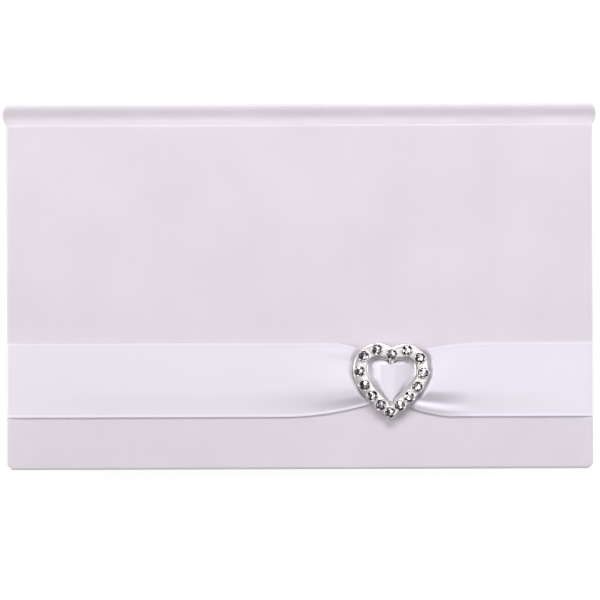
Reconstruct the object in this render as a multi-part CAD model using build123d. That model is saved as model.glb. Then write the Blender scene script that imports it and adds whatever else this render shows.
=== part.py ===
from build123d import *
import os

# A landscape, case-bound guest book that lies on its back cover. X runs along the spine, +Y points
# at the spine, +Z is up, and the origin is under the middle of the closed book. Sizes are in mm.

# Case
cover_length = 198.0  # along the spine, over the covering
cover_depth = 123.5  # from the outer face of the spine to the fore edge
board = 2.5  # thickness of the greyboard
covering = 0.3  # thickness of the paper-backed satin covering
covering_round = 0.9  # how far the covering rounds over the edge of a board
turn_in = 15.0  # covering folded over onto the inner face of a board
corner_cut = 1.6  # mitre at the two fore-edge corners of a cover
joint_reach = 7.0  # from the outer face of the spine to the covered edge of a board
joint_depth = 2.1  # depth of the pressed joint between spine and board
joint_middle = 4.1  # distance of its lowest line from the outer face of the spine
joint_flare = 1.3  # how far the folded covering stands out at each end of a joint
spine_card = 1.2  # thickness of the strip in the spine
spine_flange = 2.1  # width of the spine's covered edge, seen from above
spine_end = 3.0  # from the end of a board to the end of the card in the spine

# Text block
paper = 0.2  # thickness of a leaf
paper_gap = 0.05  # air between two leaves
square = 3.0  # how far a cover reaches past the leaves
section_leaves = 14  # leaves that lie with each cover
turning_leaves = 8  # single leaves between those two sections
kraft = 0.2  # lining strip behind the block
gauze = 0.3  # open cloth glued over the back of the block
glue = 0.5  # glue along the back of the block
glue_clearance = 0.1  # from the glue to the first fold of a leaf
headband_bead = 1.2  # thickness of the rolled edge of a headband
headband_skirt = 10.0  # height of the tape glued to the back of the block

# Trim
ribbon_width = 25.0
ribbon = 0.3  # thickness of the satin ribbon
ribbon_middle = -31.5  # its centre line, from the middle of the cover
ribbon_tail = 2.7  # what shows of each end inside the front cover
stone_diameter = 3.5
stone_gap = 0.55  # between two stones where they stand closest
cup_wall = 0.35
cup_height = 2.3
stone_crown = 0.55  # height of a stone above its girdle
stone_body = 1.5  # depth of a stone below its girdle
stone_girdle = 0.15  # height of its upright rim
seat_gap = 0.05  # between a stone and its cup
frame_outside = 2.2  # flat heart under the cups, beyond the line through the stones
frame_inside = 2.9  # and within it
frame_base = 0.9  # its thickness
bar_width = 1.6  # bar across the heart that the ribbon passes over
heart_x = 30.7  # centre of the heart, from the middle of the cover
heart_y = -32.2
heart_turn = -2.0  # degrees, clockwise from upright
gather = 0.5  # thickness of the gathered ribbon
gather_reach = 30.0  # from the centre of the heart to where the ribbon lies flat again
gather_width = 17.6  # of the ribbon where it passes the heart
fit = 0.1  # clearance between the slider and the ribbon

# Right half of the heart of stones, from the notch to the tip; heart_points scales it to the stones
half_heart = [
    (0.0, 6.7),
    (3.7, 7.8),
    (6.95, 6.05),
    (7.85, 2.35),
    (6.5, -1.1),
    (4.5, -3.6),
    (2.35, -5.8),
    (0.0, -7.6),
]

# What follows from those sizes
spine_face = cover_depth / 2
cover_stack = covering + board + covering + paper
section_stack = section_leaves * (paper + paper_gap)
turning_stack = turning_leaves * (paper + paper_gap)
flyleaf_z = cover_stack + paper_gap
section_z = flyleaf_z + paper + paper_gap
turning_z = section_z + section_stack
closed_height = 2 * section_z + 2 * section_stack + turning_stack - paper_gap
leaf_start = covering + spine_card + kraft + gauze + glue + glue_clearance
leaf_depth = cover_depth - leaf_start - square
leaf_length = cover_length - 2 * square
board_length = cover_length - 2 * covering
board_depth = cover_depth - joint_reach - 2 * covering
cup_radius = stone_diameter / 2 + cup_wall
frame_z = closed_height + gather + fit
cup_top = frame_z + cup_height
girdle_z = cup_top - cup_wall


def save(piece, name):
    export_step(piece, f"parts/{name}.step")


def slab(length, depth, height, inset, z):
    """A flat slab centred on X, starting inset from the outer face of the spine."""
    return Pos(0, spine_face - inset - depth / 2, z + height / 2) * Box(length, depth, height)


def to_front(piece):
    """The matching piece of the front cover for a piece of the back cover."""
    return mirror(piece, about=Plane.XY.offset(closed_height / 2))


def along_x(profile, length):
    """A profile drawn with (distance from the spine's outer face, height), run along the spine."""
    solid = extrude(profile, length / 2, both=True)
    return Pos(0, spine_face, 0) * Rot(0, 0, -90) * Rot(90, 0, 0) * solid


def leaf(z):
    return slab(leaf_length, leaf_depth, paper, leaf_start, z)


def section(z):
    pitch = paper + paper_gap
    return Compound(children=[leaf(z + pitch * number) for number in range(section_leaves)])


def cover_wrap():
    """Covering of one board: outer skin, four edges and three turn-ins, mitred at the corners."""
    height = 2 * covering + board
    depth = cover_depth - joint_reach
    outside = slab(cover_length, depth, height, joint_reach, 0)
    corners = outside.edges().filter_by(Axis.Z).group_by(Axis.Y)[0]
    outside = chamfer(corners, corner_cut)
    outside = fillet(outside.faces().sort_by(Axis.Z)[0].edges(), covering_round)
    window_length = cover_length - 2 * turn_in
    window_depth = depth - covering - turn_in
    window = slab(window_length, window_depth, height, joint_reach + covering, covering)
    return outside - board_slab() - window


def board_slab():
    plate = slab(board_length, board_depth, board, joint_reach + covering, covering)
    corners = plate.edges().filter_by(Axis.Z).group_by(Axis.Y)[0]
    plate = chamfer(corners, corner_cut)
    return fillet(plate.faces().sort_by(Axis.Z)[0].edges(), covering_round - covering)


def pastedown():
    inset = joint_reach + covering
    depth = cover_depth - inset - square
    return slab(leaf_length, depth, paper, inset, cover_stack - paper)


def flyleaf():
    return leaf(flyleaf_z)


def spine_wrap():
    """Covering of the spine, rounded at its two ends and along its edges, with room for the card."""
    length = cover_length + joint_flare
    outside = slab(length, spine_flange, closed_height, 0, 0)
    corners = outside.edges().filter_by(Axis.Z).group_by(Axis.Y)[-1]
    outside = fillet(corners, 0.9 * spine_flange)
    rims = outside.faces().group_by(Axis.Y)[-1].edges().filter_by(Axis.X)
    outside = fillet(rims, covering_round)
    pocket_length = length + covering
    pocket_height = closed_height - 2 * covering
    pocket = slab(pocket_length, spine_flange, pocket_height, covering, covering)
    return outside - pocket


def spine_strip():
    length = cover_length - 2 * spine_end
    return slab(length, spine_card, closed_height - 2 * covering, covering, covering)


def joint_cloth():
    """Covering pressed down between the spine and the back board, open to the outside."""
    middle = covering / 2
    line = Spline(
        (spine_flange + middle, middle + covering / 2),
        (joint_middle, joint_depth),
        (joint_reach - middle, covering_round + covering),
        tangents=[(0.5, 1), (1, 0), (0.5, -1)],
    )
    return along_x(trace(line, covering), cover_length + 2 * joint_flare)


def lining(thickness, inset):
    height = closed_height - 2 * cover_stack
    return slab(leaf_length - 2 * headband_skirt, thickness, height, inset, cover_stack)


def headband(side):
    """Rolled bead over the end of the block, on a tape glued to the back of the block."""
    height = closed_height - 2 * flyleaf_z
    end = leaf_length / 2
    tape_inset = covering + spine_card
    tape_depth = kraft + gauze
    radius = headband_bead / 2
    tape_length = headband_skirt + paper_gap + radius
    tape = slab(tape_length, tape_depth, height, tape_inset, flyleaf_z)
    tape = Pos(end - headband_skirt + tape_length / 2, 0, 0) * tape
    middle_y = spine_face - tape_inset - radius
    middle_z = closed_height / 2
    bead = Pos(end + paper_gap + radius, middle_y, middle_z) * Cylinder(radius, height)
    band = tape + bead
    return band if side > 0 else mirror(band, about=Plane.YZ)


def glue_line():
    inset = leaf_start - glue_clearance - glue
    height = closed_height - 2 * flyleaf_z
    return slab(leaf_length, glue, height, inset, flyleaf_z)


def outer_edge(block):
    """Upper edge at the +X end of a block, across the ribbon."""
    return block.faces().sort_by(Axis.Z)[-1].edges().filter_by(Axis.Y).sort_by(Axis.X)[-1]


def ribbon_run(side):
    """Ribbon from the gather, over one end of the front cover and in under the endpaper."""
    edge = cover_length / 2
    start = side * heart_x + gather_reach
    top = closed_height + ribbon
    under = closed_height - 2 * covering - board - ribbon
    outer = Pos((start + edge + ribbon) / 2, 0, (top + under) / 2)
    outer = outer * Box(edge + ribbon - start, ribbon_width, top - under)
    outer = fillet(outer_edge(outer), covering_round + ribbon)
    inner_top = closed_height
    inner_under = under + ribbon
    inner = Pos((start + edge) / 2, 0, (inner_top + inner_under) / 2)
    inner = inner * Box(edge - start, 2 * ribbon_width, inner_top - inner_under)
    inner = fillet(outer_edge(inner), covering_round)
    inner_end = edge - ribbon_tail
    away = Pos((start + inner_end) / 2, 0, under - ribbon)
    away = away * Box(inner_end - start, 2 * ribbon_width, 2 * (closed_height - under))
    run = Pos(0, ribbon_middle, 0) * (outer - inner - away)
    return run if side > 0 else mirror(run, about=Plane.YZ)


def heart_points():
    """Centres of the stones, all round, scaled so that the two closest are one pitch apart."""
    right = [Vector(x, y) for x, y in half_heart]
    left = [Vector(-x, y) for x, y in reversed(half_heart[1:-1])]
    ring = right + left
    closest = min((a - b).length for a, b in zip(ring, ring[1:] + ring[:1]))
    scale = (stone_diameter + stone_gap) / closest
    return [point * scale for point in ring]


def on_book(piece):
    """Turns a piece of the slider as it lies, and moves it to its place on the front cover."""
    return Pos(heart_x, heart_y, 0) * Rot(0, 0, heart_turn) * piece


def stone_solid():
    """A round stone with a flat table, resting point down."""
    radius = stone_diameter / 2
    table = 0.55 * radius
    profile = Polyline(
        (0, -stone_body),
        (radius, -stone_girdle),
        (radius, 0),
        (table, stone_crown),
        (0, stone_crown),
        close=True,
    )
    return revolve(Plane.XZ * make_face(profile), Axis.Z)


def stone_seat():
    """The space a stone takes in its cup, a seat_gap larger all round and open upwards."""
    radius = stone_diameter / 2 + seat_gap
    bottom = -stone_body - seat_gap
    shoulder = -stone_girdle - seat_gap
    profile = Polyline(
        (0, bottom),
        (seat_gap, bottom),
        (radius, shoulder),
        (radius, cup_height),
        (0, cup_height),
        close=True,
    )
    return revolve(Plane.XZ * make_face(profile), Axis.Z)


def heart_face(spread):
    """A heart whose edge runs outside the line through the stones by spread, or inside if negative."""
    outline = make_face(Polyline(*heart_points(), close=True))
    return offset(outline, spread, kind=Kind.ARC if spread > 0 else Kind.INTERSECTION)


def heart_frame():
    points = heart_points()
    ring = heart_face(frame_outside) - heart_face(-frame_inside)
    frame = extrude(ring, frame_base)
    notch = points[0]
    tip = points[len(half_heart) - 1]
    bar = Pos(0, (notch.Y + tip.Y) / 2, frame_base / 2)
    frame += bar * Box(bar_width, notch.Y - tip.Y, frame_base)
    for point in points:
        frame += Pos(point.X, point.Y, cup_height / 2) * Cylinder(cup_radius, cup_height)
    for point in points:
        frame -= Pos(point.X, point.Y, cup_height - cup_wall) * stone_seat()
    return on_book(Pos(0, 0, frame_z) * frame)


def ribbon_gather():
    """Ribbon narrowing towards the heart, passing under its sides and up over the bar."""
    inner_rim = max(cup_radius, frame_inside)
    outer_rim = max(cup_radius, frame_outside)
    shoulder = inner_rim + 2 * bar_width
    wide = ribbon_width / 2
    narrow = gather_width / 2
    neck = heart_points()[3].X + outer_rim
    side = Polyline(
        (gather_reach, -wide),
        (neck, -narrow),
        (shoulder, -narrow),
        (shoulder, narrow),
        (neck, narrow),
        (gather_reach, wide),
        close=True,
    )
    flat = extrude(make_face(side), gather)
    over = gather / 2 + fit
    crest = frame_z - closed_height + frame_base + over
    line = Polyline(
        (-shoulder - gather, gather / 2),
        (-shoulder + gather, gather / 2),
        (-bar_width / 2 - over, crest),
        (bar_width / 2 + over, crest),
        (shoulder - gather, gather / 2),
        (shoulder + gather, gather / 2),
    )
    arch = extrude(Plane.XZ * trace(line, gather), ribbon_width, both=True)
    opening = extrude(heart_face(-inner_rim - 2 * fit), 2 * cup_height)
    opening = Pos(0, heart_y - ribbon_middle, 0) * Rot(0, 0, heart_turn) * opening
    arch = arch & opening
    cloth = flat + mirror(flat, about=Plane.YZ) + arch
    return Pos(heart_x, ribbon_middle, closed_height) * cloth


def build_covers():
    save(board_slab(), "back_board")
    save(to_front(board_slab()), "front_board")
    save(cover_wrap(), "back_cover_wrap")
    save(to_front(cover_wrap()), "front_cover_wrap")
    save(pastedown(), "back_pastedown")
    save(to_front(pastedown()), "front_pastedown")
    save(joint_cloth(), "back_joint_cloth")
    save(to_front(joint_cloth()), "front_joint_cloth")


def build_spine():
    kraft_inset = covering + spine_card
    save(spine_strip(), "spine_strip")
    save(spine_wrap(), "spine_wrap")
    save(lining(kraft, kraft_inset), "kraft_lining")
    save(lining(gauze, kraft_inset + kraft), "gauze_lining")
    save(glue_line(), "binding_glue")
    save(headband(-1), "headband_left")
    save(headband(1), "headband_right")


def build_leaves():
    save(flyleaf(), "back_flyleaf")
    save(to_front(flyleaf()), "front_flyleaf")
    save(section(section_z), "back_leaves")
    save(section(turning_z + turning_stack), "front_leaves")
    for number in range(turning_leaves):
        save(leaf(turning_z + number * (paper + paper_gap)), f"leaf_{number + 1}")


def build_trim():
    save(ribbon_run(-1), "ribbon_left")
    save(ribbon_run(1), "ribbon_right")
    save(ribbon_gather(), "ribbon_gather")
    save(heart_frame(), "heart_frame")
    for number, point in enumerate(heart_points(), start=1):
        stone = Pos(point.X, point.Y, girdle_z) * stone_solid()
        save(on_book(stone), f"rhinestone_{number:02d}")


os.makedirs("parts", exist_ok=True)
build_covers()
build_spine()
build_leaves()
build_trim()
print(f"closed height {closed_height:.2f}, leaf start {leaf_start:.2f}, cup top {cup_top:.2f}")
for number in range(turning_leaves):
    print(f"leaf_{number + 1} middle z {turning_z + number * (paper + paper_gap) + paper / 2:.3f}")
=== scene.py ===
import math
import random

import bmesh
import bpy
from mathutils import Matrix, Vector


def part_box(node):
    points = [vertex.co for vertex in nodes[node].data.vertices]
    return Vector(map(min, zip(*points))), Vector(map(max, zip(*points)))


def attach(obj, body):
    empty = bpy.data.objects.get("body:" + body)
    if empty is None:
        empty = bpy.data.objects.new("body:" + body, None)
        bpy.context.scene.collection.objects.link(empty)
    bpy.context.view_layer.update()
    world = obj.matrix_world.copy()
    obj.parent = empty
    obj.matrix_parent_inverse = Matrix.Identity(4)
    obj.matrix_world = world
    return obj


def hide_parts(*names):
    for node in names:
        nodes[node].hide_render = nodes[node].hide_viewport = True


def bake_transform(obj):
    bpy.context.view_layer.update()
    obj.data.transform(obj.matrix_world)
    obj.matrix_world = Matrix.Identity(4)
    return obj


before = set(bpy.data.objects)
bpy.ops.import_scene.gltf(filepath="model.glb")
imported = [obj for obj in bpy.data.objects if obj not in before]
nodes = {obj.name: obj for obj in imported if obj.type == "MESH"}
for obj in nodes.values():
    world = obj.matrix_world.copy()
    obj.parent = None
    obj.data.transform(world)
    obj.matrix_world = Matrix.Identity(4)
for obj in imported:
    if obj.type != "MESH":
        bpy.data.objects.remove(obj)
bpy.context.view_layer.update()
mm = 0.001
chance = random.Random(7)

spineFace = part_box("spine_wrap")[1].y  # the outer face of the spine
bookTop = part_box("front_cover_wrap")[1].z
middleHeight = (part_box("back_cover_wrap")[0].z + bookTop) / 2
print("frame loaded")


# helpers for modelling

def smooth(value):
    # eases from 0 to 1
    value = min(max(value, 0.0), 1.0)
    return value * value * (3 - 2 * value)


def rise(value, start, over):
    # 0 up to start, then eases to 1 over that distance
    return smooth((value - start) / over)


def bump(value, middle, reach):
    # 1 at the middle, dying out on both sides
    return math.exp(-((value - middle) / reach) ** 2)


def deselectAll():
    bpy.ops.object.select_all(action="DESELECT")


def selectOnly(piece):
    deselectAll()
    piece.select_set(True)
    bpy.context.view_layer.objects.active = piece


def objectMode():
    bpy.ops.object.mode_set(mode="OBJECT")


def editAll():
    bpy.ops.object.mode_set(mode="EDIT")
    bpy.ops.mesh.select_all(action="SELECT")


def applyPlace():
    bpy.ops.object.transform_apply(location=True, rotation=True, scale=True)


def nameIt(name):
    piece = bpy.context.object
    piece.name = name
    piece.data.name = name
    return piece


def startBox(name, low, high):
    deselectAll()
    bpy.ops.mesh.primitive_cube_add(size=1, location=[(a + b) / 2 for a, b in zip(low, high)])
    piece = nameIt(name)
    piece.scale = [b - a for a, b in zip(low, high)]
    applyPlace()
    return piece


def startSheet(name, columns, rows, place):
    # a grid whose points are laid by place(u, v), both from 0 to 1
    deselectAll()
    bpy.ops.mesh.primitive_grid_add(x_subdivisions=columns, y_subdivisions=rows, size=1)
    piece = nameIt(name)
    for vertex in piece.data.vertices:
        vertex.co = place(vertex.co.x + 0.5, vertex.co.y + 0.5)
    return piece


def pick(piece, kind, test):
    # selects points, edges or faces in edit mode, by their place or direction
    bpy.ops.object.mode_set(mode="EDIT")
    bpy.ops.mesh.select_mode(type=kind)
    bpy.ops.mesh.select_all(action="DESELECT")
    mesh = bmesh.from_edit_mesh(piece.data)
    for part in {"VERT": mesh.verts, "EDGE": mesh.edges, "FACE": mesh.faces}[kind]:
        part.select = test(part)
    mesh.select_flush_mode()
    bmesh.update_edit_mesh(piece.data)


def recalculate(piece):
    # merges doubles and turns the faces outwards
    selectOnly(piece)
    editAll()
    bpy.ops.mesh.remove_doubles(threshold=0.01 * mm)
    bpy.ops.mesh.normals_make_consistent(inside=False)
    objectMode()


def flip():
    editAll()
    bpy.ops.mesh.flip_normals()
    objectMode()


def thicken(piece, thickness, offset=-1):
    # offset -1 puts the wall inside the surface, 0 on both sides of it
    selectOnly(piece)
    wall = piece.modifiers.new("wall", "SOLIDIFY")
    wall.thickness = thickness
    wall.offset = offset
    bpy.ops.object.modifier_apply(modifier=wall.name)


def soften(piece, degrees=35):
    # smooth shading, with a crease where faces meet more sharply than this
    selectOnly(piece)
    bpy.ops.object.shade_smooth_by_angle(angle=math.radians(degrees))


def copyOf(piece, name):
    twin = piece.copy()
    twin.data = piece.data.copy()
    twin.name = name
    twin.data.name = name
    bpy.context.collection.objects.link(twin)
    return twin


def joined(pieces, name):
    deselectAll()
    for piece in pieces:
        piece.select_set(True)
    bpy.context.view_layer.objects.active = pieces[0]
    bpy.ops.object.join()
    return nameIt(name)


def finishPiece(piece, material, slotName, *replaced):
    piece.data.materials.clear()
    piece.data.materials.append(material)
    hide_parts(*replaced)


# helpers for materials

def linear(hexText):
    # sRGB hex to a linear colour
    parts = [int(hexText[i:i + 2], 16) / 255 for i in (1, 3, 5)]
    return [c / 12.92 if c <= 0.04045 else ((c + 0.055) / 1.055) ** 2.4 for c in parts] + [1]


def addNode(tree, kind, settings=None, inputs=None):
    # an input is a value or another node's socket
    node = tree.nodes.new(kind)
    for key, value in (settings or {}).items():
        setattr(node, key, value)
    for key, value in (inputs or {}).items():
        if isinstance(value, bpy.types.NodeSocket):
            tree.links.new(value, node.inputs[key])
        else:
            node.inputs[key].default_value = value
    return node


def newMaterial(name, settings):
    material = bpy.data.materials.new(name)
    material.use_nodes = True
    tree = material.node_tree
    shader = tree.nodes["Principled BSDF"]
    for key, value in settings.items():
        shader.inputs[key].default_value = value
    return material, tree, shader


def setTones(ramp, *tones):
    # each tone is (position, hex colour), from the ramp's start to its end
    stops = ramp.color_ramp.elements
    stops[0].position, stops[1].position = tones[0][0], tones[-1][0]
    for position, colour in tones[1:-1]:
        stops.new(position)
    for stop, (position, colour) in zip(stops, tones):
        stop.color = linear(colour)


def waveScale(period):
    # a wave texture repeats every 2 pi / 20 units at scale 1
    return 2 * math.pi / 20 / period


def coverSatinMaterial():
    # polyester satin book covering, glued down: a soft even sheen, faint clouding and a tight weave
    cloud, slub = 22 * mm, 7 * mm
    thread = 0.9 * mm  # 0.25 mm in the cloth, drawn coarser to show
    material, tree, shader = newMaterial("pearlSatinCovering", {
        "Roughness": 0.55, "IOR": 1.5, "Sheen Weight": 0.25, "Sheen Roughness": 0.5})
    shader.inputs["Sheen Tint"].default_value = linear("#EDE9F4")
    place = addNode(tree, "ShaderNodeTexCoord").outputs["Object"]
    clouds = addNode(tree, "ShaderNodeTexNoise", None, {
        "Vector": place, "Scale": 1 / cloud, "Detail": 3.0})
    tone = addNode(tree, "ShaderNodeValToRGB", None, {"Fac": clouds.outputs["Fac"]})
    setTones(tone, (0.3, "#DAD5DB"), (0.7, "#DFDAE0"))
    tree.links.new(tone.outputs["Color"], shader.inputs["Base Color"])
    across = addNode(tree, "ShaderNodeTexWave", {"bands_direction": "X"},
                     {"Vector": place, "Scale": waveScale(thread), "Distortion": 1.5, "Detail": 1.0})
    along = addNode(tree, "ShaderNodeTexWave", {"bands_direction": "Y"},
                    {"Vector": place, "Scale": waveScale(thread), "Distortion": 1.5, "Detail": 1.0})
    weave = addNode(tree, "ShaderNodeMath", {"operation": "MULTIPLY"},
                    {0: across.outputs["Fac"], 1: along.outputs["Fac"]})
    slubs = addNode(tree, "ShaderNodeTexNoise", None, {
        "Vector": place, "Scale": 1 / slub, "Detail": 6.0})
    relief = addNode(tree, "ShaderNodeMath", {"operation": "ADD"},
                     {0: weave.outputs[0], 1: slubs.outputs["Fac"]})
    raised = addNode(tree, "ShaderNodeBump", None, {
        "Height": relief.outputs[0], "Strength": 0.25, "Distance": 0.03 * mm})
    tree.links.new(raised.outputs["Normal"], shader.inputs["Normal"])
    return material


def ribbonSatinMaterial():
    # double-faced polyester satin ribbon: floats lie along it, so it shines across and shows fine lines
    line = 0.6 * mm  # 0.15 mm in the cloth, drawn coarser to show
    ribbonWidth = 25 * mm
    selvedge = 1.0 / 25  # 1 mm of woven edge, as a share of the width
    material, tree, shader = newMaterial("doubleFacedSatinRibbon", {
        "Roughness": 0.33, "IOR": 1.5, "Anisotropic": 0.4,
        "Sheen Weight": 0.3, "Sheen Roughness": 0.4})
    shader.inputs["Sheen Tint"].default_value = linear("#F4F2FB")
    pattern = addNode(tree, "ShaderNodeTexCoord").outputs["UV"]
    split = addNode(tree, "ShaderNodeSeparateXYZ", None, {"Vector": pattern})
    floats = addNode(tree, "ShaderNodeTexWave", {"bands_direction": "Y"}, {
        "Vector": pattern, "Scale": waveScale(line / ribbonWidth), "Distortion": 0.6, "Detail": 1.0})
    fromMiddle = addNode(tree, "ShaderNodeMath", {"operation": "SUBTRACT"},
                         {0: split.outputs["Y"], 1: 0.5})
    apart = addNode(tree, "ShaderNodeMath", {"operation": "ABSOLUTE"}, {0: fromMiddle.outputs[0]})
    # the woven edges are painted: a darker line just inside each is painted shade, as of a groove, and the
    # lighter rim at the edge itself is a painted highlight
    edge = addNode(tree, "ShaderNodeMapRange", None, {
        "Value": apart.outputs[0], "From Min": 0.5 - 1.6 * selvedge, "From Max": 0.5 - 0.8 * selvedge})
    tone = addNode(tree, "ShaderNodeValToRGB", None, {"Fac": edge.outputs["Result"]})
    # middle of the ribbon, then painted shade just inside the woven edge, then a painted highlight on the
    # edge
    setTones(tone, (0.0, "#E6E3EB"), (0.55, "#E2DFE9"), (1.0, "#ECE9F1"))
    tree.links.new(tone.outputs["Color"], shader.inputs["Base Color"])
    raised = addNode(tree, "ShaderNodeBump", None, {
        "Height": floats.outputs["Fac"], "Strength": 0.2, "Distance": 0.02 * mm})
    tree.links.new(raised.outputs["Normal"], shader.inputs["Normal"])
    return material


def paperMaterial():
    # smooth white uncoated paper: matt, with a faint fibre cloud
    fibre = 1.2 * mm
    material, tree, shader = newMaterial("uncoatedPaper", {
        "Roughness": 0.85, "IOR": 1.47, "Specular IOR Level": 0.3})
    place = addNode(tree, "ShaderNodeTexCoord").outputs["Object"]
    fibres = addNode(tree, "ShaderNodeTexNoise", None, {
        "Vector": place, "Scale": 1 / fibre, "Detail": 5.0})
    tone = addNode(tree, "ShaderNodeValToRGB", None, {"Fac": fibres.outputs["Fac"]})
    setTones(tone, (0.0, "#DFDDD7"), (1.0, "#E7E5E0"))
    tree.links.new(tone.outputs["Color"], shader.inputs["Base Color"])
    raised = addNode(tree, "ShaderNodeBump", None, {
        "Height": fibres.outputs["Fac"], "Strength": 0.2, "Distance": 0.01 * mm})
    tree.links.new(raised.outputs["Normal"], shader.inputs["Normal"])
    return material


def plainFibreMaterial(name, dark, light, grain, roughness, depth):
    # boards, kraft and cotton: a matt stock whose fibres show as grain
    material, tree, shader = newMaterial(name, {
        "Roughness": roughness, "IOR": 1.48, "Specular IOR Level": 0.3})
    place = addNode(tree, "ShaderNodeTexCoord").outputs["Object"]
    fibres = addNode(tree, "ShaderNodeTexNoise", None, {
        "Vector": place, "Scale": 1 / grain, "Detail": 6.0, "Roughness": 0.65})
    tone = addNode(tree, "ShaderNodeValToRGB", None, {"Fac": fibres.outputs["Fac"]})
    setTones(tone, (0.35, dark), (0.65, light))
    tree.links.new(tone.outputs["Color"], shader.inputs["Base Color"])
    raised = addNode(tree, "ShaderNodeBump", None, {
        "Height": fibres.outputs["Fac"], "Strength": 0.4, "Distance": depth})
    tree.links.new(raised.outputs["Normal"], shader.inputs["Normal"])
    return material


def gauzeMaterial():
    # starched open-weave cotton gauze: threads 1 mm apart both ways
    pitch = 1.0 * mm
    material, tree, shader = newMaterial("cottonGauze", {"Roughness": 0.9, "IOR": 1.5})
    place = addNode(tree, "ShaderNodeTexCoord").outputs["Object"]
    across = addNode(tree, "ShaderNodeTexWave", {"bands_direction": "X"},
                     {"Vector": place, "Scale": waveScale(pitch)})
    upright = addNode(tree, "ShaderNodeTexWave", {"bands_direction": "Z"},
                      {"Vector": place, "Scale": waveScale(pitch)})
    threads = addNode(tree, "ShaderNodeMath", {"operation": "MAXIMUM"},
                      {0: across.outputs["Fac"], 1: upright.outputs["Fac"]})
    tone = addNode(tree, "ShaderNodeValToRGB", None, {"Fac": threads.outputs[0]})
    setTones(tone, (0.0, "#C9C0AC"), (1.0, "#EDE8DC"))
    tree.links.new(tone.outputs["Color"], shader.inputs["Base Color"])
    raised = addNode(tree, "ShaderNodeBump", None, {
        "Height": threads.outputs[0], "Strength": 0.6, "Distance": 0.1 * mm})
    tree.links.new(raised.outputs["Normal"], shader.inputs["Normal"])
    return material


def glueMaterial():
    # dried binding glue: translucent cream, brushed on along the spine
    stroke = 0.8 * mm
    material, tree, shader = newMaterial("driedBindingGlue", {"Roughness": 0.3, "IOR": 1.48})
    place = addNode(tree, "ShaderNodeTexCoord").outputs["Object"]
    strokes = addNode(tree, "ShaderNodeTexWave", {"bands_direction": "Z"},
                      {"Vector": place, "Scale": waveScale(stroke), "Distortion": 6.0, "Detail": 2.0})
    tone = addNode(tree, "ShaderNodeValToRGB", None, {"Fac": strokes.outputs["Fac"]})
    setTones(tone, (0.0, "#E2D6B4"), (1.0, "#F0E8CF"))
    tree.links.new(tone.outputs["Color"], shader.inputs["Base Color"])
    raised = addNode(tree, "ShaderNodeBump", None, {
        "Height": strokes.outputs["Fac"], "Strength": 0.5, "Distance": 0.08 * mm})
    tree.links.new(raised.outputs["Normal"], shader.inputs["Normal"])
    return material


def castingMaterial():
    # bright rhodium-plated zinc casting: mirror-like over a slightly uneven cast skin
    skin = 0.7 * mm
    material, tree, shader = newMaterial("platedZincCasting", {"Metallic": 1.0, "Roughness": 0.34})
    place = addNode(tree, "ShaderNodeTexCoord").outputs["Object"]
    uneven = addNode(tree, "ShaderNodeTexNoise", None, {
        "Vector": place, "Scale": 1 / skin, "Detail": 2.0})
    tone = addNode(tree, "ShaderNodeValToRGB", None, {"Fac": uneven.outputs["Fac"]})
    setTones(tone, (0.0, "#E8E4E2"), (1.0, "#F6F3F1"))
    tree.links.new(tone.outputs["Color"], shader.inputs["Base Color"])
    raised = addNode(tree, "ShaderNodeBump", None, {
        "Height": uneven.outputs["Fac"], "Strength": 0.5, "Distance": 0.08 * mm})
    tree.links.new(raised.outputs["Normal"], shader.inputs["Normal"])
    return material


def rhinestoneMaterial():
    # foil-backed crystal: each facet is given its own tone, a painted reflection standing in for the foil
    # and the room, so they differ sharply in tone
    material, tree, shader = newMaterial("foiledRhinestone", {
        "Metallic": 0.85, "Roughness": 0.06,
        "Coat Weight": 1.0, "Coat Roughness": 0.02, "Coat IOR": 1.55})
    # each facet's painted reflection, stored on the stone's faces
    facet = addNode(tree, "ShaderNodeAttribute", {"attribute_name": "paintedFacetReflection"})
    tone = addNode(tree, "ShaderNodeValToRGB", None, {"Fac": facet.outputs["Fac"]})
    setTones(tone, (0.0, "#1D1B1E"), (0.45, "#77727A"), (1.0, "#FAF8FA"))
    tree.links.new(tone.outputs["Color"], shader.inputs["Base Color"])
    return material


coverSatin = coverSatinMaterial()
ribbonSatin = ribbonSatinMaterial()
leafPaper = paperMaterial()
greyboard = plainFibreMaterial("greyboard", "#8F8A82", "#A8A39A", 0.9 * mm, 0.95, 0.05 * mm)
kraftPaper = plainFibreMaterial("kraftPaper", "#A9865B", "#C09C6E", 1.4 * mm, 0.8, 0.03 * mm)
headbandCotton = plainFibreMaterial("mercerisedCotton", "#E8E4E2", "#F7F4F2", 0.3 * mm, 0.6,
                                    0.03 * mm)
gauzeCotton = gauzeMaterial()
bindingGlue = glueMaterial()
platedCasting = castingMaterial()
rhinestone = rhinestoneMaterial()

# the hidden parts keep their own shape and only get a finish
hiddenFinishes = {"front_board": greyboard, "back_board": greyboard, "spine_strip": greyboard,
                  "kraft_lining": kraftPaper, "gauze_lining": gauzeCotton, "binding_glue": bindingGlue}
for nodeName, finish in hiddenFinishes.items():
    if nodes[nodeName].material_slots:
        nodes[nodeName].material_slots[0].material = finish
    else:
        nodes[nodeName].data.materials.append(finish)
print("materials ready")


# covered boards, sizes in mm

board = {
    "corner": 1.6, "outerRound": 0.9, "jointRound": 1.15, "innerRound": 0.35, "cloth": 0.3,
    "turnIn": 15.0, "closeUp": 2.2, "closesWithin": 0.3,
    # the cloth isn't turned in along the joint, so the window's side there moves to windowStop from it;
    # its corners are found by the other two
    "windowStop": 1.2, "windowMargin": 5.0, "windowDepth": 16.0,
}


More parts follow.
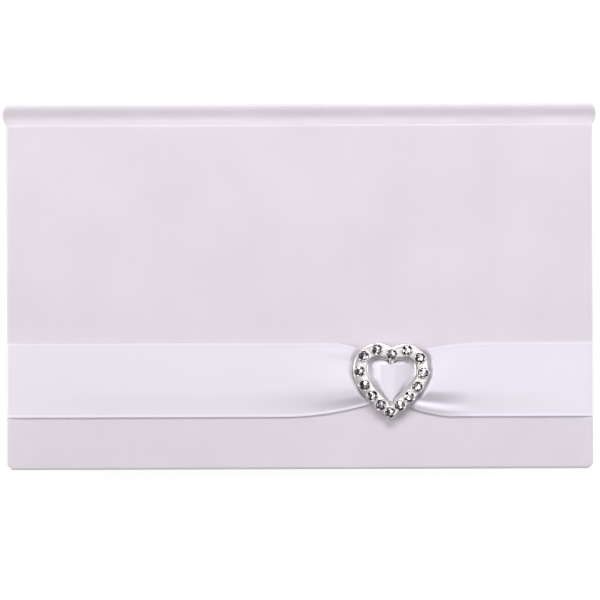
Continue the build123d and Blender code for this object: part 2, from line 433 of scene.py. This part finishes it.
def makeCoveredBoard(name, node, body, outward):
    low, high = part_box(node)
    outerZ = high.z if outward > 0 else low.z
    innerZ = low.z if outward > 0 else high.z
    near = 0.02 * mm
    jointSide = high.y - 1.2 * board["outerRound"] * mm
    piece = startBox(name, low, high)
    pick(piece, "EDGE", lambda e: all(abs(v.co.y - low.y) < near for v in e.verts)
         and abs(e.verts[0].co.x - e.verts[1].co.x) < near)
    bpy.ops.mesh.bevel(offset=board["corner"] * mm, segments=1, affect="EDGES")
    pick(piece, "EDGE", lambda e: all(abs(v.co.z - outerZ) < near for v in e.verts))
    bpy.ops.mesh.bevel(offset=board["outerRound"] * mm, segments=6, affect="EDGES")
    # the cloth is pressed less tightly round the edge along the joint
    pick(piece, "VERT", lambda v: abs(v.co.z - outerZ) < near and v.co.y > jointSide)
    bpy.ops.transform.translate(value=(0, (board["outerRound"] - board["jointRound"]) * mm, 0))
    pick(piece, "EDGE", lambda e: all(abs(v.co.z - innerZ) < near for v in e.verts))
    bpy.ops.mesh.bevel(offset=board["innerRound"] * mm, segments=3, affect="EDGES")
    pick(piece, "FACE", lambda f: f.normal.z * outward < -0.99)
    # the short side across each cut corner closes up first, then both turn-ins meet in a mitre
    bpy.ops.mesh.inset(thickness=board["closeUp"] * mm)
    bpy.ops.mesh.select_mode(type="VERT")
    bpy.ops.mesh.remove_doubles(threshold=board["closesWithin"] * mm)
    bpy.ops.mesh.select_mode(type="FACE")
    bpy.ops.mesh.inset(thickness=(board["turnIn"] - board["innerRound"] - board["closeUp"]) * mm)
    bpy.ops.mesh.delete(type="FACE")
    pick(piece, "VERT", lambda v: abs(v.co.z - innerZ) < near
         and abs(v.co.x) < high.x - board["windowMargin"] * mm
         and v.co.y > high.y - board["windowDepth"] * mm)
    bpy.ops.transform.translate(value=(0, (board["turnIn"] - board["windowStop"]) * mm, 0))
    objectMode()
    thicken(piece, board["cloth"] * mm)
    soften(piece)
    finishPiece(piece, coverSatin, "cover_satin", node)
    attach(piece, body)


makeCoveredBoard("frontCovering", "front_cover_wrap", "front_cover", 1)
makeCoveredBoard("backCovering", "back_cover_wrap", "back_cover", -1)
print("covered boards made")


# spine and joints, sizes in mm

spine = {
    "cloth": 0.3, "columns": 150, "arcSteps": 6, "blendStart": 2.4, "blendEnd": 6.8,
    # slight ripples along the joint, stronger towards the right
    "ripples": 5, "rippleDepth": (0.03, 0.08), "rippleLength": (14, 46),
    "rippleAt": 4.6, "rippleSpread": 1.4, "growsFrom": -20, "growsOver": 70,
    # (distance from the spine's outer face, depth below the cover), from the spine's middle to the board
    "profile": [(0.0, 8.075), (0.0, 6.6), (0.0, 5.0), (0.0, 3.4), (0.0, 2.1), (0.0, 1.25), (0.05, 0.78),
                (0.2, 0.42), (0.45, 0.17), (0.8, 0.03), (1.2, 0.0), (1.6, 0.02), (2.0, 0.08), (2.35, 0.17),
                (2.7, 0.28), (3.05, 0.4), (3.4, 0.52), (3.75, 0.64), (4.1, 0.75), (4.5, 0.85), (4.95, 0.92),
                (5.4, 0.94), (5.85, 0.93), (6.25, 0.92), (6.62, 0.92), (6.98, 0.93)],
    # how far the cloth reaches along the spine at each distance
    "reach": [(0.0, 99.2), (0.5, 99.4), (1.0, 99.65), (2.0, 100.0), (3.0, 100.2), (4.0, 100.28),
              (5.0, 100.15), (6.0, 99.8), (7.0, 99.4)],
    # thickness of the turned end: over the card, then only doubled cloth
    "turned": [(0.0, 1.5), (1.6, 1.5), (2.6, 0.76), (7.0, 0.72)],
}


def between(table, value):
    # straight from one row of the table to the next
    for (a, first), (b, second) in zip(table, table[1:]):
        if value <= b:
            return first + (second - first) * (value - a) / (b - a)
    return table[-1][1]


def makeSpineHalf(name, outward, replaced):
    profile = spine["profile"]
    endSteps = spine["arcSteps"]
    rows = len(profile) - 1
    columns = spine["columns"] + 2 * endSteps
    ripples = [(chance.uniform(*spine["rippleDepth"]), chance.uniform(*spine["rippleLength"]),
                chance.uniform(0, 6.28)) for _ in range(spine["ripples"])]

    def place(u, v):
        row = round(v * rows)
        away, depth = profile[row]
        before, after = profile[max(row - 1, 0)], profile[min(row + 1, rows)]
        along = Vector((after[0] - before[0], before[1] - after[1])).normalized()
        inwards = Vector((along.y, -along.x))  # into the cloth, as (away, up)
        reach, turned = between(spine["reach"], away), between(spine["turned"], away)
        radius = turned / 2
        column = round(u * columns)
        if column < endSteps or column > columns - endSteps:
            # the cloth turns over the end of the card
            step = min(column, columns - column)
            angle = math.pi * (1 - step / endSteps)
            side = -1 if column < endSteps else 1
            x = side * (reach - radius + radius * math.sin(angle))
            sunk = radius - radius * math.cos(angle)
        else:
            share = (column - endSteps) / (columns - 2 * endSteps)
            x = (2 * share - 1) * (reach - radius)
            sunk = 0.0
        if sunk == 0:
            ripple = sum(size * math.sin(2 * math.pi * x / wide + shift) for size, wide, shift in ripples)
            grown = 0.5 + 0.5 * rise(x, spine["growsFrom"], spine["growsOver"])
            sunk += ripple * bump(away, spine["rippleAt"], spine["rippleSpread"]) * grown
        away += inwards.x * sunk
        depth -= inwards.y * sunk
        z = bookTop / mm - depth
        z = z if outward > 0 else 2 * middleHeight / mm - z
        return Vector((x, spineFace / mm - away, z)) * mm

    piece = startSheet(name, columns, rows, place)
    bpy.context.view_layer.update()
    middle = max(piece.data.polygons, key=lambda f: f.center.y - abs(f.center.x))
    if middle.normal.y < 0:
        flip()
    thicken(piece, spine["cloth"] * mm)
    soften(piece, 50)
    finishPiece(piece, coverSatin, "cover_satin", *replaced)
    # its flat width, along the profile
    width = sum((Vector(a) - Vector(b)).length for a, b in zip(profile, profile[1:]))
    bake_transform(piece)


makeSpineHalf("frontSpineCovering", 1, ["spine_wrap", "front_joint_cloth"])
makeSpineHalf("backSpineCovering", -1, ["spine_wrap", "back_joint_cloth"])
print("spine covering made")


# paper: endpapers, sections and turning leaves, sizes in mm

paper = {
    "thickness": 0.2, "sectionLeaves": 14, "turningLeaves": 8,
    "rows": 44, "columns": 4, "crowding": 2.2,  # rows crowd towards the gutter, where a leaf bends
    "bendReach": 13.0,  # over this length a leaf comes to move with its own body
    "trim": 0.25, "slip": 0.12,  # a leaf may be this much shorter, and lie this far to one side
    "pastedownEnd": 2.6,  # from the spine's outer face
}


def makeLeaf(name, low, high, shorter=0.0, slip=0.0):
    middleZ = (low.z + high.z) / 2
    length = high.y - low.y - shorter

    def place(u, v):
        x = low.x + slip + (high.x - low.x - 2 * abs(slip)) * u
        return Vector((x, high.y - length * (1 - v) ** paper["crowding"], middleZ))

    piece = startSheet(name, paper["columns"], paper["rows"], place)
    thicken(piece, high.z - low.z, 0)
    return piece


def bendFrom(piece):
    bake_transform(piece)


def makeSection(name, node):
    leaves = paper["sectionLeaves"]
    low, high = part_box(node)
    pitch = (high.z - low.z - paper["thickness"] * mm) / (leaves - 1)
    made = []
    for number in range(leaves):
        bottom = low.z + pitch * number
        leafLow = Vector((low.x, low.y, bottom))
        leafHigh = Vector((high.x, high.y, bottom + paper["thickness"] * mm))
        shorter = chance.uniform(0, paper["trim"]) * mm
        slip = chance.uniform(0, paper["slip"]) * mm
        made.append(makeLeaf(f"{name}Leaf{number}", leafLow, leafHigh, shorter, slip))
    piece = joined(made, name)
    finishPiece(piece, leafPaper, "leaf_paper", node)
    bendFrom(piece)


def makeEndpaper(name, node):
    low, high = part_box(node)
    pasted = "pastedown" in node
    reach = Vector((high.x, spineFace - paper["pastedownEnd"] * mm, high.z)) if pasted else high
    piece = makeLeaf(name, low, reach)
    finishPiece(piece, leafPaper, "leaf_paper", node)
    if pasted:
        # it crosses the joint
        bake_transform(piece)
    else:
        bendFrom(piece)


for side, body in (("front", "front_cover"), ("back", "back_cover")):
    makeEndpaper(f"{side}Pastedown", f"{side}_pastedown")
    makeEndpaper(f"{side}Flyleaf", f"{side}_flyleaf")
    makeSection(f"{side}Section", f"{side}_leaves")
for number in range(1, paper["turningLeaves"] + 1):
    low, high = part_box(f"leaf_{number}")
    leaf = makeLeaf(f"turningLeaf{number}", low, high, chance.uniform(0, paper["trim"]) * mm)
    finishPiece(leaf, leafPaper, "leaf_paper", f"leaf_{number}")
    bendFrom(leaf)
print("paper made")


# headbands, sizes in mm: a wound bead on a flat tape

headband = {"turns": 26, "swell": 1.12, "beadRadius": 0.6, "sides": 20, "tape": 0.5, "tapeRound": 0.08}


def makeHeadband(name, node):
    low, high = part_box(node)
    side = 1 if high.x > 0 else -1
    radius, swell = headband["beadRadius"] * mm, headband["swell"]
    outer = high.x if side > 0 else low.x
    middle = Vector((outer - side * radius, (low.y + high.y) / 2, (low.z + high.z) / 2))
    deselectAll()
    bpy.ops.mesh.primitive_cylinder_add(vertices=headband["sides"], radius=radius / swell,
                                        depth=high.z - low.z, location=middle)
    bead = nameIt(name + "Bead")
    applyPlace()
    # the upright edges are cut into rings
    pick(bead, "EDGE", lambda e: abs(e.verts[0].co.z - e.verts[1].co.z) > mm)
    bpy.ops.mesh.subdivide(number_cuts=2 * headband["turns"] - 1)
    # every other ring swells, as thread wound round a core
    step = (high.z - low.z) / (2 * headband["turns"])
    pick(bead, "VERT", lambda v: round((v.co.z - low.z) / step) % 2 == 1)
    bpy.ops.transform.resize(value=(swell, swell, 1), center_override=middle)
    objectMode()
    tapeLow = Vector((low.x if side > 0 else middle.x, high.y - headband["tape"] * mm, low.z))
    tapeHigh = Vector((middle.x if side > 0 else high.x, high.y, high.z))
    tape = startBox(name + "Tape", tapeLow, tapeHigh)
    pick(tape, "EDGE", lambda e: True)
    bpy.ops.mesh.bevel(offset=headband["tapeRound"] * mm, segments=2, affect="EDGES")
    objectMode()
    piece = joined([bead, tape], name)
    soften(piece, 40)
    finishPiece(piece, headbandCotton, "headband_cotton", node)
    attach(piece, "spine")


makeHeadband("leftHeadband", "headband_left")
makeHeadband("rightHeadband", "headband_right")
print("headbands made")


# the heart's line, which the slider and the ribbon both follow

stoneNames = [f"rhinestone_{number:02d}" for number in range(1, 15)]
stoneBoxes = [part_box(name) for name in stoneNames]
stoneCentres = [(low + high) / 2 for low, high in stoneBoxes]
notch, tip = stoneCentres[0].xy, stoneCentres[7].xy  # the stones on the heart's axis
heartUp = (notch - tip).normalized()
heartRight = Vector((heartUp.y, -heartUp.x))
heartMiddle = (notch + tip) / 2


def toHeart(point):
    # (across, up) from the middle of the heart, in mm
    away = Vector((point[0], point[1])) - heartMiddle
    return Vector((away.dot(heartRight), away.dot(heartUp))) / mm


def fromHeart(across, up, z):
    point = heartMiddle + (heartRight * across + heartUp * up) * mm
    return Vector((point.x, point.y, z))


def curveThrough(points, steps):
    # a smooth line through the points, with free ends
    line = []
    for i in range(len(points) - 1):
        a = points[max(i - 1, 0)]
        b, c = points[i], points[i + 1]
        d = points[min(i + 2, len(points) - 1)]
        for step in range(steps):
            t = step / steps
            line.append(0.5 * (2 * b + (c - a) * t + (2 * a - 5 * b + 4 * c - d) * t * t
                               + (3 * b - a - 3 * c + d) * t ** 3))
    return line + [points[-1]]


rightStones = [toHeart(c) for c in stoneCentres[:8]]
rightLine = curveThrough(rightStones, 8)
heartLine = rightLine + [Vector((-p.x, p.y)) for p in reversed(rightLine[1:-1])]


def heartDistance(across, up):
    # distance from the line through the stones, more than 0 outside the heart
    point = Vector((across, up))
    best, inside = 1e9, False
    for a, b in zip(heartLine, heartLine[1:] + heartLine[:1]):
        run = b - a
        share = min(max((point - a).dot(run) / run.length_squared, 0), 1)
        best = min(best, (a + run * share - point).length)
        if (a.y > up) != (b.y > up) and across < a.x + (up - a.y) / (b.y - a.y) * run.x:
            inside = not inside
    return -best if inside else best


# heart slider, sizes in mm

heart = {
    "outside": 2.2, "inside": 2.9, "base": 0.9,  # the band, on both sides of the stones' line
    "notchFill": 0.5, "notchReach": 2.0,  # the band is wider under the notch
    "barWidth": 1.6, "barInset": 1.0, "barRound": 0.2,
    "axisGap": 0.015,  # how near the inner edge comes to the heart's axis, beside the notch and the tip
    "cupRadius": 2.1, "cupWall": 0.32, "cupSides": 28, "cupFoot": 0.55, "cupRound": 0.12,
    # depth of a cup's straight seat and of the cone under it, and the cone's tip as a share
    "seat": 0.4, "cone": 1.1, "coneTip": 0.06,
    "claws": 4, "clawRadius": 0.4, "clawInset": 0.38, "clawFlat": 0.62,
}
frameLow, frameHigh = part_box("heart_frame")


def offsetHeart(index, distance):
    # a point beside the heart's line; at the notch and the tip the two sides meet on the axis
    count = len(heartLine)
    if distance < 0:
        nearAxis = bump(heartLine[index].x, 0, heart["notchReach"])
        distance += heart["notchFill"] * nearAxis * (heartLine[index].y > 0)
    before, point, after = heartLine[index - 1], heartLine[index], heartLine[(index + 1) % count]
    along = (after - before).normalized()
    outward = Vector((-along.y, along.x))
    if index in (0, len(rightLine) - 1):
        first, second = (point - before).normalized(), (after - point).normalized()
        half = math.cos(first.angle(second) / 2)
        up = 1 if index == 0 else -1
        return Vector((0, point.y + up * distance / half))
    moved = point + outward * distance
    if moved.x * point.x < 0:
        # past the axis it would cross the other side, so it stops beside the corner
        corner = offsetHeart(0 if point.y > 0 else len(rightLine) - 1, distance)
        return Vector((math.copysign(heart["axisGap"], point.x), corner.y))
    return moved


def makeHeartBand():
    # a torus whose sections are moved onto the heart's line and given the casting's section
    outside, inside, base = heart["outside"], heart["inside"], heart["base"]
    # (distance from the line, height): along the foot, up the outside, over the top and down the inside
    section = [(-inside + 0.22, 0.0), (outside - 0.22, 0.0), (outside, 0.2), (outside, 0.55),
               (outside - 0.25, 0.8), (outside - 0.8, base), (0.0, base), (-1.6, base),
               (-inside + 0.5, base - 0.05), (-inside + 0.12, 0.65), (-inside, 0.4), (-inside, 0.15)]
    deselectAll()
    bpy.ops.mesh.primitive_torus_add(major_segments=len(heartLine), minor_segments=len(section))
    band = nameIt("heartBand")
    for index, vertex in enumerate(band.data.vertices):
        distance, height = section[index % len(section)]
        point = offsetHeart(index // len(section), distance)
        vertex.co = fromHeart(point.x, point.y, frameLow.z + height * mm)
    recalculate(band)
    soften(band, 50)
    return band


def makeCup():
    # modelled once at the origin, foot on z = 0
    height = frameHigh.z - frameLow.z - heart["cupFoot"] * mm
    radius, wall = heart["cupRadius"] * mm, heart["cupWall"] * mm
    deselectAll()
    bpy.ops.mesh.primitive_cylinder_add(vertices=heart["cupSides"], radius=radius, depth=height,
                                        location=(0, 0, height / 2))
    cup = nameIt("cup")
    applyPlace()
    pick(cup, "FACE", lambda f: f.normal.z > 0.9)
    bpy.ops.mesh.inset(thickness=wall)
    # a straight seat for the girdle, then a cone for the stone's body
    for depth in (heart["seat"], heart["cone"]):
        bpy.ops.mesh.extrude_region_move(TRANSFORM_OT_translate={"value": (0, 0, -depth * mm)})
    bpy.ops.transform.resize(value=(heart["coneTip"], heart["coneTip"], 1), center_override=(0, 0, 0))
    near = 0.01 * mm
    pick(cup, "EDGE", lambda e: all(v.co.z > height - near and v.co.xy.length > radius - near
                                    for v in e.verts))
    bpy.ops.mesh.bevel(offset=heart["cupRound"] * mm, segments=2, affect="EDGES")
    objectMode()
    parts = [cup]
    reach = radius - heart["clawInset"] * mm
    for turn in range(heart["claws"]):
        angle = math.pi / 4 + turn * 2 * math.pi / heart["claws"]
        spot = (reach * math.cos(angle), reach * math.sin(angle), height)
        deselectAll()
        bpy.ops.mesh.primitive_uv_sphere_add(segments=10, ring_count=7,
                                             radius=heart["clawRadius"] * mm, location=spot)
        claw = nameIt(f"claw{turn}")
        claw.scale = (1.0, 1.0, heart["clawFlat"])
        applyPlace()
        parts.append(claw)
    cup = joined(parts, "cup")
    soften(cup, 45)
    return cup


def makeSliderFrame():
    parts = [makeHeartBand()]
    cup = makeCup()
    for index, centre in enumerate(stoneCentres):
        twin = copyOf(cup, f"cup{index}")
        turn = chance.uniform(0, math.pi / 2)
        twin.data.transform(Matrix.Rotation(turn, 4, "Z"))
        for vertex in twin.data.vertices:
            vertex.co += Vector((centre.x, centre.y, frameLow.z + heart["cupFoot"] * mm))
        parts.append(twin)
    bpy.data.objects.remove(cup)
    half = heart["barWidth"] / 2
    bar = startBox("heartBar", (-half * mm, -1, 0), (half * mm, 1, heart["base"] * mm))
    top = toHeart(notch).y - heart["barInset"]
    bottom = toHeart(tip).y + heart["barInset"]
    for vertex in bar.data.vertices:
        up = top if vertex.co.y > 0 else bottom
        vertex.co = fromHeart(vertex.co.x / mm, up, frameLow.z + vertex.co.z)
    pick(bar, "EDGE", lambda e: True)
    bpy.ops.mesh.bevel(offset=heart["barRound"] * mm, segments=3, affect="EDGES")
    objectMode()
    soften(bar, 50)
    parts.append(bar)
    piece = joined(parts, "sliderFrame")
    finishPiece(piece, platedCasting, "slider_metal", "heart_frame")
    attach(piece, "heart_slider")


# a rhinestone in the chaton cut, sizes in mm
chaton = {
    "radius": 1.75, "crown": 0.55, "body": 1.5,  # crown above the girdle, body below it
    "starRise": 0.02, "tableDepth": 0.05,  # facets within this depth of the top make the table's star
    # painted reflections: how bright each facet is drawn, chosen by chance, darker on the sides than on the
    # table
    "tablePaintedReflections": [0.1, 0.3, 0.45, 0.65, 0.9, 1.0], "sidePaintedReflections": [0.0, 0.0, 0.1, 0.3, 0.6, 1.0],
}


def makeStone():
    # octagonal table, kite and girdle facets above, eight long facets below
    # (share of the radius, height, corners, turn in steps): table, kites, girdle's rims, lower break
    rings = [(0.55, chaton["crown"], 8, 0.5), (0.82, 0.34, 8, 0.0), (1.0, 0.0, 16, 0.0),
             (1.0, -0.15, 16, 0.0), (0.5, -0.85, 8, 0.5)]
    deselectAll()
    bpy.ops.mesh.primitive_circle_add(vertices=8, radius=0.1 * mm)
    stone = nameIt("stone")
    mesh = bmesh.new()
    for share, height, count, shift in rings:
        reach = share * chaton["radius"]
        for step in range(count):
            angle = 2 * math.pi * (step + shift) / count
            mesh.verts.new(Vector((reach * math.cos(angle), reach * math.sin(angle), height)) * mm)
    mesh.verts.new((0, 0, -chaton["body"] * mm))
    mesh.to_mesh(stone.data)
    mesh.free()
    editAll()
    bpy.ops.mesh.convex_hull()
    # the table is cut into the star that the facets below draw in it
    pick(stone, "FACE", lambda f: f.normal.z > 0.99)
    bpy.ops.mesh.dissolve_faces()
    bpy.ops.mesh.poke(offset=chaton["starRise"] * mm)
    objectMode()
    recalculate(stone)
    return stone


def makeStones():
    stone = makeStone()
    for index, (low, high) in enumerate(stoneBoxes):
        twin = copyOf(stone, f"stone{index + 1:02d}")
        twin.data.transform(Matrix.Rotation(chance.uniform(0, math.pi / 4), 4, "Z"))
        girdle = high.z - chaton["crown"] * mm
        middle = stoneCentres[index]
        for vertex in twin.data.vertices:
            vertex.co += Vector((middle.x, middle.y, girdle))
        # every facet gets a painted reflection, a tone drawn by chance
        tones = twin.data.attributes.new("paintedFacetReflection", "FLOAT", "FACE")
        for number, facet in enumerate(twin.data.polygons):
            onTable = facet.center.z > high.z - chaton["tableDepth"] * mm
            tones.data[number].value = chance.choice(chaton["tablePaintedReflections" if onTable else "sidePaintedReflections"])
        finishPiece(twin, rhinestone, "rhinestone", stoneNames[index])
        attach(twin, "heart_slider")
    bpy.data.objects.remove(stone)


makeSliderFrame()
makeStones()
print("slider made")


# ribbon, sizes in mm

ribbon = {
    "width": 25, "thickness": 0.25, "rows": 64, "farSteps": 40, "nearSteps": 110,
    # the turned end: length under the board, height of the board's end, and the two bends
    "tail": 2.7, "tailLift": 0.15, "endHeight": 3.6, "cornerRadius": 1.05, "lowerRadius": 0.4,
    "clearance": 0.02,  # between the ribbon and the cover
    "heartHalf": 12.6,  # from the heart's middle to its side, where the folds start
    # each edge: how far inside the heart's side it is narrowest, how far beyond it has its full
    # width, how quickly, and how far it draws in; then where the slope beside the crest ends, how far
    # from the heart the stations get closer, and over what length the cloth comes to move with it
    "left": {"top": (5.0, 7.0, 1.5, 3.5), "bottom": (8.0, 24.0, 2.0, 5.0),
             "foot": 7.0, "closer": 45, "blendOver": 46},
    "right": {"top": (7.0, 20.0, 2.0, 3.5), "bottom": (8.0, 9.0, 1.7, 3.65),
              "foot": 7.6, "closer": 38, "blendOver": 50},
    "squeeze": 4.5, "barLow": -5.75, "barHigh": 6.35,  # over the bar, from the heart's middle
    "crest": 1.85,  # how far the middle of the cloth rises over the bar
    "crestHalf": 0.9, "crestSpread": 2.4,  # it spreads to its left higher up
    "lift": 0.28,  # the cloth stands this far off the cover between its ends
    "upperLift": 0.45,  # and this much further above its lower edge
    "edgeRise": 0.05, "edgeAt": 0.012,  # the woven edges stand proud; their place is a share of the width
    "followsFrom": 13.5,  # nearer to the heart than this, the cloth moves with the slider
}
# the folds that the slider draws in: how far they reach from it, and how high they are beside it
folds = {
    "left": {"near": 44, "close": 20, "roll": 1.25, "steep": 0.9, "upper": 0.3},
    "right": {"near": 26, "close": 17, "ridge": 1.75, "broad": 0.5, "lower": 0.8},
}
leftLow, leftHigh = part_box("ribbon_left")
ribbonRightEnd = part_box("ribbon_right")[1].x
heartX = heartMiddle.x / mm
ribbonFlat = bookTop / mm + ribbon["thickness"] / 2 + ribbon["clearance"]
ribbonLowY, ribbonHighY = leftLow.y / mm, leftHigh.y / mm


def sideFacts(side):
    return ribbon["left" if side < 0 else "right"]


def ribbonEdges(side, x):
    # lower and upper edge of the ribbon at x
    away = side * (x - heartX) - ribbon["heartHalf"]
    edges = []
    for key, full, inwards in (("bottom", ribbonLowY, 1), ("top", ribbonHighY, -1)):
        within, beyond, power, drawn = sideFacts(side)[key]
        narrow = full + inwards * drawn
        share = min(max((away + within) / (within + beyond), 0), 1)
        edges.append(narrow + (full - narrow) * (1 - (1 - share) ** power))
    # inside the heart it squeezes together to pass over the bar
    overBar = smooth(1 - abs(x - heartX) / ribbon["squeeze"])
    barLow = heartMiddle.y / mm + ribbon["barLow"]
    barHigh = heartMiddle.y / mm + ribbon["barHigh"]
    return edges[0] + (barLow - edges[0]) * overBar, edges[1] + (barHigh - edges[1]) * overBar


def foldHeight(side, away, share):
    # away is from the heart's side, and share goes over the width from 0 at the lower edge
    fold = folds["left" if side < 0 else "right"]
    near = smooth(1 - away / fold["near"])
    close = smooth(1 - away / fold["close"])
    if side < 0:
        # a broad roll above the lower edge, steeper towards the slider, and a thin one near the top
        roll = rise(share, 0, 0.38) * (1 - 0.7 * rise(share, 0.42, 0.55))
        steep = rise(share, 0.03, 0.17) * (1 - rise(share, 0.2, 0.6))
        upper = bump(share, 0.86, 0.08)
        return fold["roll"] * near * roll + fold["steep"] * close * steep + fold["upper"] * close * upper
    # a deep pocket between a broad ridge and the lower edge
    ridge = rise(share, 0.15, 0.2) * (1 - 0.75 * rise(share, 0.42, 0.55))
    broad = rise(share, 0.1, 0.3)
    lower = bump(share, 0.08, 0.06)
    return fold["ridge"] * close * ridge + fold["broad"] * near * broad + fold["lower"] * close * lower


def ribbonHeight(side, x, y, share):
    # how far the cloth stands above where it would lie flat
    across, up = toHeart((x * mm, y * mm))
    away = max(side * (x - heartX) - ribbon["heartHalf"], 0)
    distance = heartDistance(across, up) if abs(across) < 20 else 9.0  # far off, any large distance does
    outsideRoom = rise(distance, heart["outside"], 1.6)
    fromEnd = min(x - leftLow.x / mm, ribbonRightEnd / mm - x)
    lift = ribbon["lift"] * rise(fromEnd, 1.2, 4)
    lift += ribbon["upperLift"] * rise(fromEnd, 4, 30) * rise(share, 0, 0.35)
    fold = (foldHeight(side, away, share) + lift) * outsideRoom
    # the crest lies over the bar, and slopes down to the frame on both sides
    crestHalf = ribbon["crestHalf"] + (ribbon["crestSpread"] * rise(up, -7, 12) if across < 0 else 0.0)
    foot = sideFacts(across)["foot"]
    climb = 1 - min(max((abs(across) - crestHalf) / (foot - crestHalf), 0), 1)
    room = 0.3 + 1.5 * rise(abs(across), 1.0, 3)
    insideRoom = smooth((-distance - heart["inside"] + 0.1) / room) if distance < 0 else 0.0
    if abs(across) < 1.0:
        # over the bar itself the crest runs on under the frame
        insideRoom = max(insideRoom, 1 - rise(abs(across), 0.8, 0.5))
    return fold + ribbon["crest"] * climb * insideRoom


def ribbonPath(side):
    # (x, z) stations from the tail under the cover, round its end and along the top to the bar
    edgeX = (leftLow.x if side < 0 else ribbonRightEnd) / mm - side * ribbon["thickness"] / 2
    underZ = leftLow.z / mm + ribbon["tailLift"]
    stations = [(edgeX - side * ribbon["tail"] * share, underZ) for share in (1.0, 0.7, 0.4)]
    small, large = ribbon["lowerRadius"], ribbon["cornerRadius"]
    for step in range(5):
        angle = math.pi / 2 * step / 4
        stations.append((edgeX - side * small * (1 - math.sin(angle)),
                         underZ + small * (1 - math.cos(angle))))
    stations.append((edgeX, (underZ + ribbonFlat) / 2))
    for step in range(7):
        angle = math.pi / 2 * step / 6
        stations.append((edgeX - side * large * (1 - math.cos(angle)),
                         ribbonFlat - large * (1 - math.sin(angle))))
    flatStart = edgeX - side * large
    nearX = heartX + side * sideFacts(side)["closer"]
    farSteps, nearSteps = ribbon["farSteps"], ribbon["nearSteps"]
    for step in range(1, farSteps + 1):
        stations.append((flatStart + (nearX - flatStart) * step / farSteps, ribbonFlat))
    for step in range(1, nearSteps + 1):
        stations.append((nearX + (heartX - nearX) * step / nearSteps, ribbonFlat))
    return stations


def makeRibbon(name, side, replaced):
    stations = ribbonPath(side)
    last = len(stations) - 1

    def place(u, v):
        x, z = stations[round(u * last)]
        low, high = ribbonEdges(side, x)
        y = low + (high - low) * v
        if z >= ribbonFlat - 0.001:
            z += ribbonHeight(side, x, y, v)
            edge = ribbon["edgeAt"]
            z += ribbon["edgeRise"] * (bump(v, edge, edge) + bump(v, 1 - edge, edge))
        return Vector((x, y, z)) * mm

    piece = startSheet(name, last, ribbon["rows"], place)
    highest = max(piece.data.polygons, key=lambda f: f.center.z)
    if highest.normal.z < 0:
        flip()
    thicken(piece, ribbon["thickness"] * mm, 0)
    soften(piece, 60)
    finishPiece(piece, ribbonSatin, "ribbon_satin", *replaced)
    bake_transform(piece)


makeRibbon("ribbonLeft", -1, ["ribbon_left", "ribbon_gather"])
makeRibbon("ribbonRight", 1, ["ribbon_right", "ribbon_gather"])
print("ribbon made")


# stage, light and camera

studio = {
    "floorSize": 8.0, "floor": "#B4B4B4", "floorGlow": 0.72,
    # the glow keeps the floor white under the camera, while its grey throws little light back up
    "world": "#F8F8FC", "worldStrength": 0.2,
    # name, place, size, power and colour
    "lamps": [("leftSoftbox", (-1.5, 0.0, 0.9), (0.8, 0.9), 15.8, "#FFF3F5"),
              ("rightSoftbox", (1.0, 0.0, 0.2), (0.5, 0.7), 5.6, "#F4F6FF"),
              ("spineSoftbox", (0.0, 1.3, 1.1), (1.2, 0.6), 21.6, "#FDFCFF"),
              ("overheadSoftbox", (0.28, 0.0, 1.35), (0.5, 0.5), 1.9, "#FFFDFE")],
    "cameraHeight": 1.1, "frameWidth": 0.2025, "cameraX": 0.1 * mm, "cameraY": -4.6 * mm, "roll": 0.2,
    "sensor": 36,
}


def makeStage():
    deselectAll()
    bpy.ops.mesh.primitive_plane_add(size=studio["floorSize"], location=(0, 0, 0))
    floor = nameIt("floor")
    material, tree, shader = newMaterial("paintedStudioFloor", {
        "Roughness": 0.9, "Base Color": linear(studio["floor"]), "Emission Color": linear("#FFFFFF"),
        "Emission Strength": studio["floorGlow"]})
    floor.data.materials.append(material)


def addArea(name, place, size, power, colour):
    deselectAll()
    bpy.ops.object.light_add(type="AREA", location=place)
    lamp = bpy.context.object
    lamp.name = name
    lamp.data.shape = "RECTANGLE"
    lamp.data.size, lamp.data.size_y = size
    lamp.data.energy = power
    lamp.data.color = linear(colour)[:3]
    # aimed at the book
    lamp.rotation_euler = (Vector((0, 0, 0)) - Vector(place)).to_track_quat("-Z", "Y").to_euler()


def lightAndCamera():
    for name, place, size, power, colour in studio["lamps"]:
        addArea(name, place, size, power, colour)
    scene = bpy.context.scene
    world = bpy.data.worlds.new("studio")
    world.use_nodes = True
    background = world.node_tree.nodes["Background"]
    background.inputs["Color"].default_value = linear(studio["world"])
    background.inputs["Strength"].default_value = studio["worldStrength"]
    scene.world = world
    scene.view_settings.view_transform = "Standard"
    deselectAll()
    above = bookTop + studio["cameraHeight"]
    bpy.ops.object.camera_add(location=(studio["cameraX"], studio["cameraY"], above))
    camera = bpy.context.object
    camera.rotation_euler = (0, 0, -math.radians(studio["roll"]))
    camera.data.sensor_width = studio["sensor"]
    camera.data.lens = studio["sensor"] * studio["cameraHeight"] / studio["frameWidth"]
    scene.camera = camera


makeStage()
lightAndCamera()
print("studio ready")
